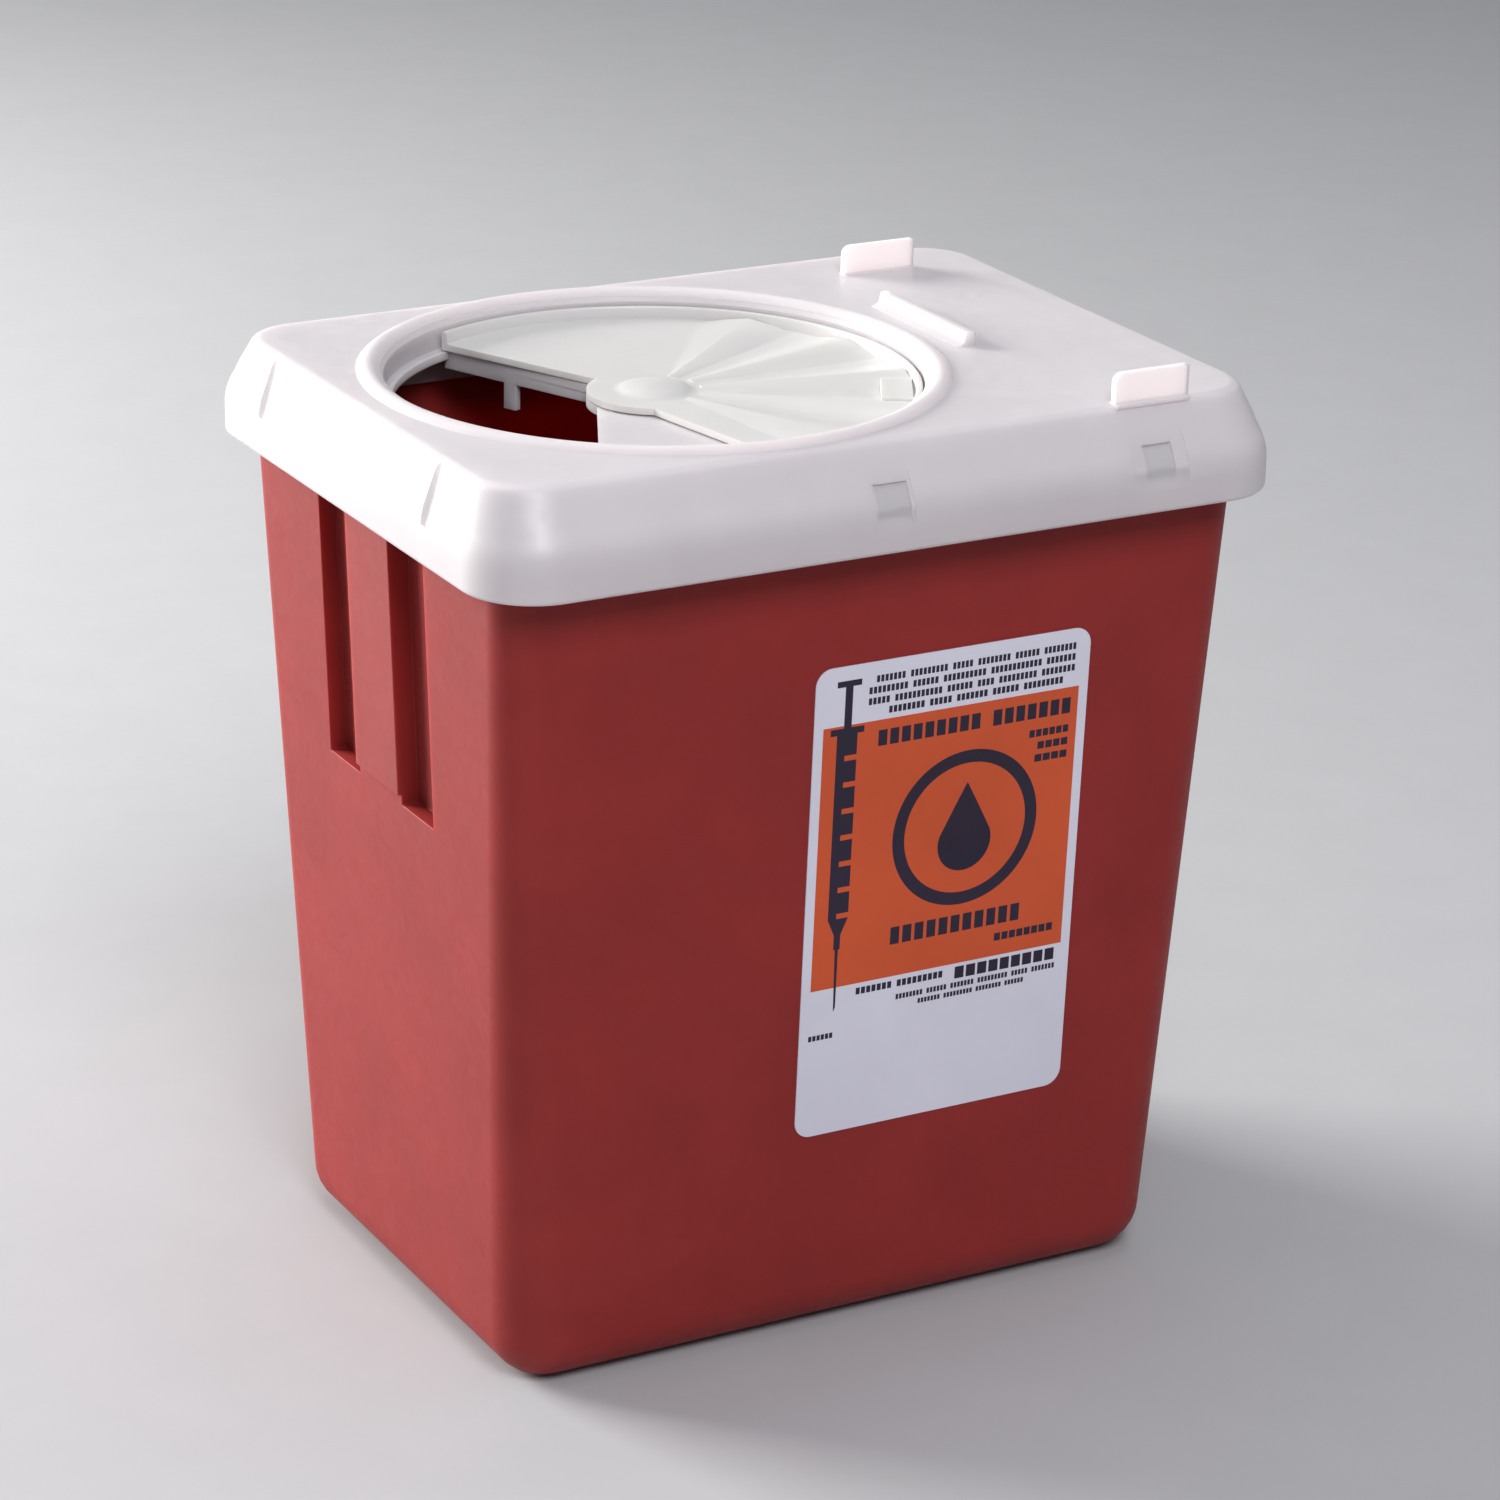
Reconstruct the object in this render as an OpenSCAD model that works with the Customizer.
// Two-litre sharps container with a rotor lid.
// Long side along X, label on the -Y face, floor at Z = 0, rotor pivot parallel to Z.

/* [Container body] */
// Outer length of the body at the floor
body_length = 144.2; // [140:0.2:146]
// Outer width of the body at the floor
body_width = 101.4; // [98:0.2:103]
// Height of the body up to its rim
body_height = 178.4; // [177.5:0.1:178.6]
// Outward lean of every wall, in mm per mm of height
draft = 0.04; // [0.036:0.001:0.041]
// Thickness of the body walls
wall = 1.8; // [1.5:0.1:2]
// Thickness of the floor
floor_thickness = 2.4; // [2:0.1:4]
// Radius of the four upright corners at the rim
corner_radius = 7; // [6.5:0.5:8]
// Radius of the rounding between the walls and the floor
floor_radius = 10; // [4:0.5:10]
// Radius of the four upright corners at the floor
base_corner_radius = 11; // [10.5:0.5:14]

/* [Bracket grooves] */
// Distance from the middle of the short face to the near side of a groove
groove_inner = 9.5; // [8:0.5:10]
// Width of one groove
groove_width = 13.8; // [12:0.2:15]
// Depth of a groove
groove_depth = 3.5; // [2.5:0.1:3.9]
// Height of the lower end of the grooves
groove_bottom = 107.8; // [100:0.2:120]
// Height of the upper end of the grooves
groove_top = 163; // [158:1:163]
// How far the rail between the grooves stands proud of the wall
rail_lift = 0.8; // [0.4:0.1:1.2]

/* [Lid] */
// Height of the lid's flat top
lid_top = 184; // [184:0.1:184.2]
// Thickness of the lid's plate and skirt
lid_thickness = 1.8; // [1.6:0.1:1.8]
// Height of the skirt's lower edge
skirt_bottom = 164.2; // [163.5:0.1:165]
// Height where the sloping skirt meets the upright rim band
band_top = 173; // [172:0.5:174]
// Outer length of the rim band
lid_length = 168.6; // [168:0.2:170]
// Outer width of the rim band
lid_width = 131.4; // [131:0.2:133]
// Length of the lid's flat top
top_length = 162; // [161:0.5:163]
// Width of the lid's flat top
top_width = 118.6; // [118:0.2:121]
// Height of the lower edge of the sealing collar inside the body
collar_bottom = 169.4; // [168.5:0.1:170.5]

/* [Rotor] */
// Distance from the body's middle to the rotor's pivot
pivot_offset = 18.8; // [18.4:0.1:19.2]
// Inner radius of the round well that holds the rotor
well_radius = 51.5; // [51:0.1:51.6]
// Height of the floor of the well
well_floor = 178.2; // [177.8:0.1:178.4]
// Radius of the rotor disc
rotor_radius = 51.1; // [50.5:0.1:51.1]
// Thickness of the rotor disc
rotor_thickness = 1.3; // [1.2:0.1:1.6]
// Radius of the rotor's round hub
hub_radius = 13; // [12:0.5:13.5]
// Radius of the pivot pin under the rotor
pin_radius = 5; // [4.5:0.1:6]
// Gap around the pivot pin
pin_gap = 0.05; // [0.03:0.01:0.08]
// Height of the rotor's upstanding rim above its disc
rim_height = 2.4; // [1.5:0.1:2.6]
// Number of grip ribs fanning out on the rotor
rib_count = 5; // [4:1:5]

/* [Label] */
// Width of the label
label_width = 60; // [50:1:64]
// Height of the label
label_height = 97; // [80:1:100]
// Distance from the body's middle to the middle of the label
label_offset = 16; // [10:0.5:18]
// Height of the label's lower edge above the floor
label_bottom = 43.4; // [35:0.2:46]
// Thickness of the label
label_thickness = 0.25; // [0.15:0.05:0.4]

/* [Hidden] */
$fn = 96;
HULL_FN = 32;
GAP = 0.3;
draft_angle = atan(draft);
draft_stretch = 1 / cos(draft_angle);
half_length = body_length / 2;
half_width = body_width / 2;
// Rim flange that the lid's hooks reach down past
flange_bottom = 172;
flange_height = 2;
flange_lift = 2.4;
// Bead, floor plate and opening of the rotor well
bead_outer = 56.8;
well_floor_thickness = 1.6;
well_wall = 1.6;
ledge_radius = 50;
// Angles of the edges of the drop opening, at the hub and at the rim
gate_start_hub = 123;
gate_start_rim = 116;
gate_end_hub = 186;
gate_end_rim = 231;
// Angles of the edges of the gap in the rotor, at the hub and at the rim
gap_start_hub = 123;
gap_start_rim = 117;
gap_end_hub = 242;
gap_end_rim = 272;
// Pivot
rotor_bottom = well_floor + GAP;
rotor_top = rotor_bottom + rotor_thickness;
boss_radius = 8.5;
boss_bottom = 172.6;
pin_bottom = 169.6;
pin_head_radius = 6.4;
pin_head_height = 1.6;
dome_radius = 7;
hub_rise = 1.2;
// Stacking tabs and bar on the right-hand part of the lid's top
tab_left = 47.6;
tab_length = 16.2;
tab_height = 6;
tab_thickness = 1.6;
tab_corner = 1.8;
front_tab_y = -57.6;
back_tab_y = 44.2;
// Latches on each long side: place along X, width of the channel, width of the pocket
latches = [[-3.5, 8.4, 7], [54.2, 12.2, 6.4]];
pocket_low = 171.5;
pocket_high = 177;
// Webs under the lid's plate that rest on the body's rim: distance from the middle of each side
stop_web_x = 42;
stop_web_y = 26;
stop_web_thickness = 1.4;
stop_gap = 0.05;

function wall_x(z) = half_length + draft * z;
function wall_y(z) = half_width + draft * z;
function polar(r, a) = [r * cos(a), r * sin(a)];

// ---------- shared shapes ----------

// Slab with four round upright corners, centred on the Z axis
module round_slab(l, w, r, h) {
  cube_at(l - 2 * r, w, h);
  cube_at(l, w - 2 * r, h);
  for (sx = [-1, 1], sy = [-1, 1])
    translate([sx * (l / 2 - r), sy * (w / 2 - r), 0]) cylinder(h = h, r = r);
}

module cube_at(l, w, h) {
  translate([-l / 2, -w / 2, 0]) cube([l, w, h]);
}

// Upright corner post whose lower end is rounded over by radius r_end
module rounded_post(r, r_end, h) {
  steps = 6;
  arc = [for (i = [0:steps]) [r - r_end + r_end * sin(90 * i / steps), r_end * (1 - cos(90 * i / steps))]];
  rotate_extrude($fn = HULL_FN) polygon(concat([[0, 0]], arc, [[r, h], [0, h]]));
}

// Solid with drafted walls from height z0 up to z1, pulled in by inset on every side
module drafted_block(inset, z0, z1, r_low, r_high, r_end) {
  hull() {
    for (sx = [-1, 1], sy = [-1, 1]) {
      low_x = wall_x(r_end + z0) - inset - r_low;
      low_y = wall_y(r_end + z0) - inset - r_low;
      translate([sx * low_x, sy * low_y, z0])
        rounded_post(r_low, r_end, r_end);
      high_x = wall_x(z1 - 1) - inset - r_high;
      high_y = wall_y(z1 - 1) - inset - r_high;
      translate([sx * high_x, sy * high_y, z1 - 1])
        cylinder(h = 1, r = r_high, $fn = HULL_FN);
    }
  }
}

// Places a shape on the +X or -X wall: its X runs inward, its Z runs up the sloping wall
module on_end_wall(side, z) {
  mirror([side > 0 ? 1 : 0, 0, 0])
    translate([-wall_x(z), 0, z]) rotate([0, -draft_angle, 0]) children();
}

// ---------- container body ----------

module groove_cut(y0) {
  translate([-2, y0, 0])
    cube([groove_depth + 2, groove_width, (groove_top - groove_bottom) * draft_stretch]);
}

module groove_pad(y0) {
  translate([0, y0 - wall, -wall])
    cube([groove_depth + wall, groove_width + 2 * wall, groove_top - groove_bottom + 2 * wall]);
}

module rim_flange() {
  outer_l = 2 * (wall_x(flange_bottom) + flange_lift);
  outer_w = 2 * (wall_y(flange_bottom) + flange_lift);
  translate([0, 0, flange_bottom]) difference() {
    round_slab(outer_l, outer_w, corner_radius + flange_lift, flange_height);
    translate([0, 0, -1])
      round_slab(2 * (wall_x(flange_bottom) - wall / 2), 2 * (wall_y(flange_bottom) - wall / 2),
                 corner_radius - wall / 2, flange_height + 2);
  }
}

module container_body() {
  color([0.72, 0.16, 0.14]) {
    difference() {
      union() {
        drafted_block(0, 0, body_height, base_corner_radius, corner_radius, floor_radius);
        for (side = [-1, 1])
          on_end_wall(side, groove_bottom + 2)
            translate([-rail_lift, -groove_inner, 0])
              cube([rail_lift + 1, 2 * groove_inner, groove_top - groove_bottom - 2]);
      }
      difference() {
        drafted_block(wall, floor_thickness, body_height + 2, base_corner_radius - wall,
          corner_radius - wall, floor_radius - wall);
        for (side = [-1, 1], y0 = [groove_inner, -groove_inner - groove_width])
          on_end_wall(side, groove_bottom) groove_pad(y0);
      }
      for (side = [-1, 1], y0 = [groove_inner, -groove_inner - groove_width])
        on_end_wall(side, groove_bottom) groove_cut(y0);
    }
    rim_flange();
  }
}

// ---------- lid ----------

// Solid bounded by the upright rim band and the sloping skirt, pulled in by inset
module skirt_block(inset, z0, top_z, r_top_end) {
  rim_r = 14 - inset;
  top_r = 12 - inset;
  hull() {
    for (sx = [-1, 1], sy = [-1, 1]) {
      translate([sx * (lid_length / 2 - 14), sy * (lid_width / 2 - 14), z0])
        rounded_post(rim_r, inset > 0 ? 0.01 : 1.2, band_top - z0);
      translate([sx * (top_length / 2 - 12), sy * (top_width / 2 - 12), top_z])
        mirror([0, 0, 1]) rounded_post(top_r, r_top_end, r_top_end);
    }
  }
}

// Sector between two straight edges, each running from the hub to beyond the rim
module sector(hub_r, far_r, start_hub, start_rim, end_hub, end_rim) {
  far = far_r * 1.6;
  fan = [for (i = [0:4]) polar(far, start_rim + (end_rim - start_rim) * i / 4)];
  difference() {
    intersection() {
      circle(r = far_r);
      polygon(concat([polar(hub_r - 2, start_hub)], fan, [polar(hub_r - 2, end_hub)]));
    }
    circle(r = hub_r);
  }
}

module well_floor_plate() {
  translate([0, 0, well_floor - well_floor_thickness])
    linear_extrude(well_floor_thickness) difference() {
      circle(r = well_radius + well_wall);
      circle(r = pin_radius + pin_gap);
      sector(hub_radius, ledge_radius, gate_start_hub, gate_start_rim, gate_end_hub, gate_end_rim);
    }
}

// Stiffening rib under the first edge of the drop opening, with the small lug that hangs from it
module gate_rib() {
  inner_point = polar(hub_radius - 1, gate_start_hub);
  outer_point = polar(ledge_radius + 1, gate_start_rim);
  run = outer_point - inner_point;
  rib_height = 3.6;
  rib_thickness = 1.4;
  lug_height = 8.4;
  lug_width = 3;
  lug_place = 21;
  translate([inner_point[0], inner_point[1], well_floor - rib_height])
    rotate([0, 0, atan2(run[1], run[0])]) translate([0, -rib_thickness, 0]) {
      cube([norm(run), rib_thickness, rib_height - 0.4]);
      translate([lug_place, 0, rib_height - lug_height - 0.4]) cube([lug_width, rib_thickness, lug_height]);
    }
}

module rotor_well() {
  bore = pin_radius + pin_gap;
  well_floor_plate();
  translate([0, 0, well_floor - well_floor_thickness]) rotate_extrude()
    translate([well_radius, 0]) square([well_wall, lid_top - well_floor + well_floor_thickness - 0.5]);
  // Raised bead around the mouth of the well
  bead_width = bead_outer - well_radius;
  translate([0, 0, lid_top]) rotate_extrude() polygon(concat(
    [[well_radius, -lid_thickness]],
    [for (i = [0:10]) [well_radius + bead_width * i / 10, 1.1 * i / 10 - 1.1 + 1.75 * sin(18 * i)]],
    [[bead_outer, -lid_thickness / 2]]));
  // Boss around the pivot
  translate([0, 0, boss_bottom]) linear_extrude(well_floor - boss_bottom) difference() {
    circle(r = boss_radius);
    circle(r = bore);
  }
  gate_rib();
}

// Upright plate with one round corner
module stacking_tab() {
  plate_height = tab_height + 0.6;
  translate([tab_left, tab_thickness / 2, lid_top - 0.6]) rotate([90, 0, 0])
    linear_extrude(tab_thickness) {
      square([tab_length, plate_height - tab_corner]);
      translate([tab_corner, 0]) square([tab_length - tab_corner, plate_height]);
      translate([tab_corner, plate_height - tab_corner]) circle(r = tab_corner);
    }
}

// Low upright bar beside the well, with a small fillet on the well's side
module guide_bar() {
  bar_x = 45.2;
  bar_y = -12;
  bar_length = 33;
  translate([bar_x, bar_y + bar_length, lid_top - 0.6]) rotate([90, 0, 0]) linear_extrude(bar_length)
    polygon([[-4.2, 0], [-4.2, 0.7], [-2.6, 1.2], [-2.2, 3], [-1.8, 3.4], [-0.4, 3.4], [0, 3], [0, 0]]);
}

// Channel down the skirt with a deeper pocket at its foot, above a sloping ledge
module latch_cut(x, channel_width, pocket_width) {
  channel_depth = 0.6;
  pocket_depth = 1.2;
  ledge_height = 2;
  edge = lid_width / 2;
  channel_top = lid_top - 1;
  skirt_slope = (lid_width - top_width) / 2 / (lid_top - band_top);
  function skirt_y(z) = edge - skirt_slope * max(z - band_top, 0);
  translate([x - channel_width / 2, 0, 0]) rotate([90, 0, 90]) linear_extrude(channel_width)
    polygon([[edge + 1, pocket_low - ledge_height], [edge, pocket_low - ledge_height],
             [edge - channel_depth, pocket_low], [edge - channel_depth, band_top],
             [skirt_y(channel_top) - channel_depth, channel_top], [edge + 1, channel_top]]);
  translate([x - pocket_width / 2, 0, 0]) rotate([90, 0, 90]) linear_extrude(pocket_width)
    polygon([[edge + 1, pocket_low - ledge_height], [edge, pocket_low - ledge_height],
             [edge - pocket_depth, pocket_low], [edge - pocket_depth, band_top],
             [skirt_y(pocket_high) - pocket_depth, pocket_high], [edge + 1, pocket_high]]);
}

// Hook that reaches in from the skirt, below the level of the body's flange
module hook(x, width) {
  hook_bottom = 168.6;
  reach_y = wall_y(flange_bottom) + flange_lift + GAP;
  translate([x - width / 2, reach_y, hook_bottom])
    cube([width, lid_width / 2 - 1 - reach_y, 1.8]);
}

// Shallow upright groove in the sloping part of the skirt's short side
module side_flute(y) {
  flute_radius = 3;
  flute_depth = 1;
  lean = atan2((lid_length - top_length) / 2, lid_top - band_top);
  translate([-lid_length / 2, y, band_top]) rotate([0, lean, 0])
    translate([flute_depth - flute_radius, 0, -1]) cylinder(h = 16, r = flute_radius);
}

// Webs across the channel between the collar and the skirt, which rest on the body's rim
module stop_webs() {
  web_low = body_height + stop_gap;
  web_height = lid_top - lid_thickness / 2 - web_low;
  reach = 4;
  for (side = [0, 1], along = [-1, 1]) {
    mirror([side, 0, 0]) translate([wall_x(collar_bottom) - wall - 1, along * stop_web_y, web_low])
      cube([reach, stop_web_thickness, web_height]);
    mirror([0, side, 0]) translate([along * stop_web_x, wall_y(collar_bottom) - wall - 1, web_low])
      cube([stop_web_thickness, reach, web_height]);
  }
}

module lid() {
  color([0.88, 0.87, 0.84]) {
    difference() {
      union() {
        difference() {
          skirt_block(0, skirt_bottom, lid_top, 2.4);
          skirt_block(lid_thickness, skirt_bottom - 1, lid_top - lid_thickness, 1);
        }
        // Sealing collar inside the body's rim
        translate([0, 0, collar_bottom]) difference() {
          collar_l = 2 * (wall_x(collar_bottom) - wall - GAP);
          collar_w = 2 * (wall_y(collar_bottom) - wall - GAP);
          collar_h = lid_top - lid_thickness / 2 - collar_bottom;
          round_slab(collar_l, collar_w, corner_radius - wall, collar_h);
          translate([0, 0, -1]) round_slab(collar_l - 3.2, collar_w - 3.2, corner_radius - wall - 1.6, collar_h + 2);
        }
        for (side = [0, 1], latch = latches)
          mirror([0, side, 0]) hook(latch[0], latch[1]);
        for (y = [front_tab_y, back_tab_y])
          translate([0, y, 0]) stacking_tab();
        guide_bar();
        stop_webs();
      }
      translate([-pivot_offset, 0, lid_top - 6]) cylinder(h = 12, r = well_radius + 0.6);
      for (side = [0, 1], latch = latches)
        mirror([0, side, 0]) latch_cut(latch[0], latch[1], latch[2]);
      for (side = [0, 1], y = [-36.5, 36.5])
        mirror([side, 0, 0]) side_flute(y);
    }
    translate([-pivot_offset, 0, 0]) rotor_well();
  }
}

// ---------- rotor ----------

// Ridge that widens and rises from the hub to the rim
module grip_rib(inner_r, outer_r) {
  inner_half = 2.2;
  outer_half = 11;
  inner_height = 0.3;
  outer_height = 1.5;
  sunk = 0.3;
  polyhedron(
    points = [[inner_r, -inner_half, -sunk], [inner_r, inner_half, -sunk], [inner_r, 0, inner_height],
              [outer_r, -outer_half, -sunk], [outer_r, outer_half, -sunk], [outer_r, 0, outer_height]],
    faces = [[0, 1, 2], [3, 5, 4], [0, 3, 4, 1], [1, 4, 5], [1, 5, 2], [2, 5, 3], [2, 3, 0]]);
}

module grip_ribs() {
  rib_from = -70;
  rib_step = 27.5;
  for (i = [0:rib_count - 1])
    rotate([0, 0, rib_from + i * rib_step]) translate([0, 0, rotor_top])
      grip_rib(hub_radius - 4, rotor_radius - 1.6);
}

// Thumb pad at the rim between two of the ribs
module thumb_pad() {
  rotate([0, 0, -28.75]) translate([rotor_radius - 8, -7, rotor_top - 0.3]) cube([6, 14, 1.5]);
}

module rotor() {
  color([0.93, 0.92, 0.89]) translate([-pivot_offset, 0, 0]) {
    difference() {
      union() {
        translate([0, 0, rotor_bottom]) cylinder(h = rotor_thickness, r = rotor_radius);
        translate([0, 0, rotor_bottom]) difference() {
          cylinder(h = rotor_thickness + rim_height, r = rotor_radius);
          cylinder(h = rotor_thickness + rim_height + 1, r = rotor_radius - 1.2);
        }
        grip_ribs();
        thumb_pad();
      }
      translate([0, 0, rotor_bottom - 1]) linear_extrude(10)
        sector(hub_radius, rotor_radius + 2, gap_start_hub, gap_start_rim, gap_end_hub, gap_end_rim);
    }
    // Low dome on the hub
    translate([0, 0, rotor_top - 0.2]) rotate_extrude() polygon(concat(
      [[0, 0]], [for (i = [0:6]) [dome_radius * cos(15 * i), 0.2 + hub_rise * sin(15 * i)]]));
    // Pivot pin with its snap head below the boss
    translate([0, 0, pin_bottom]) cylinder(h = rotor_bottom - pin_bottom + 0.5, r = pin_radius);
    translate([0, 0, pin_bottom]) cylinder(h = pin_head_height, r1 = pin_radius - 0.6, r2 = pin_head_radius);
    translate([0, 0, pin_bottom + pin_head_height]) cylinder(h = 1, r = pin_head_radius);
  }
}

// ---------- label ----------

module front_label() {
  label_corner = 3.5;
  middle = label_height / 2;
  color([0.86, 0.86, 0.9])
    translate([label_offset, -wall_y(label_bottom), label_bottom]) rotate([90 + draft_angle, 0, 0])
      translate([0, middle, 0]) round_slab(label_width, label_height, label_corner, label_thickness);
}

container_body();
lid();
rotor();
front_label();
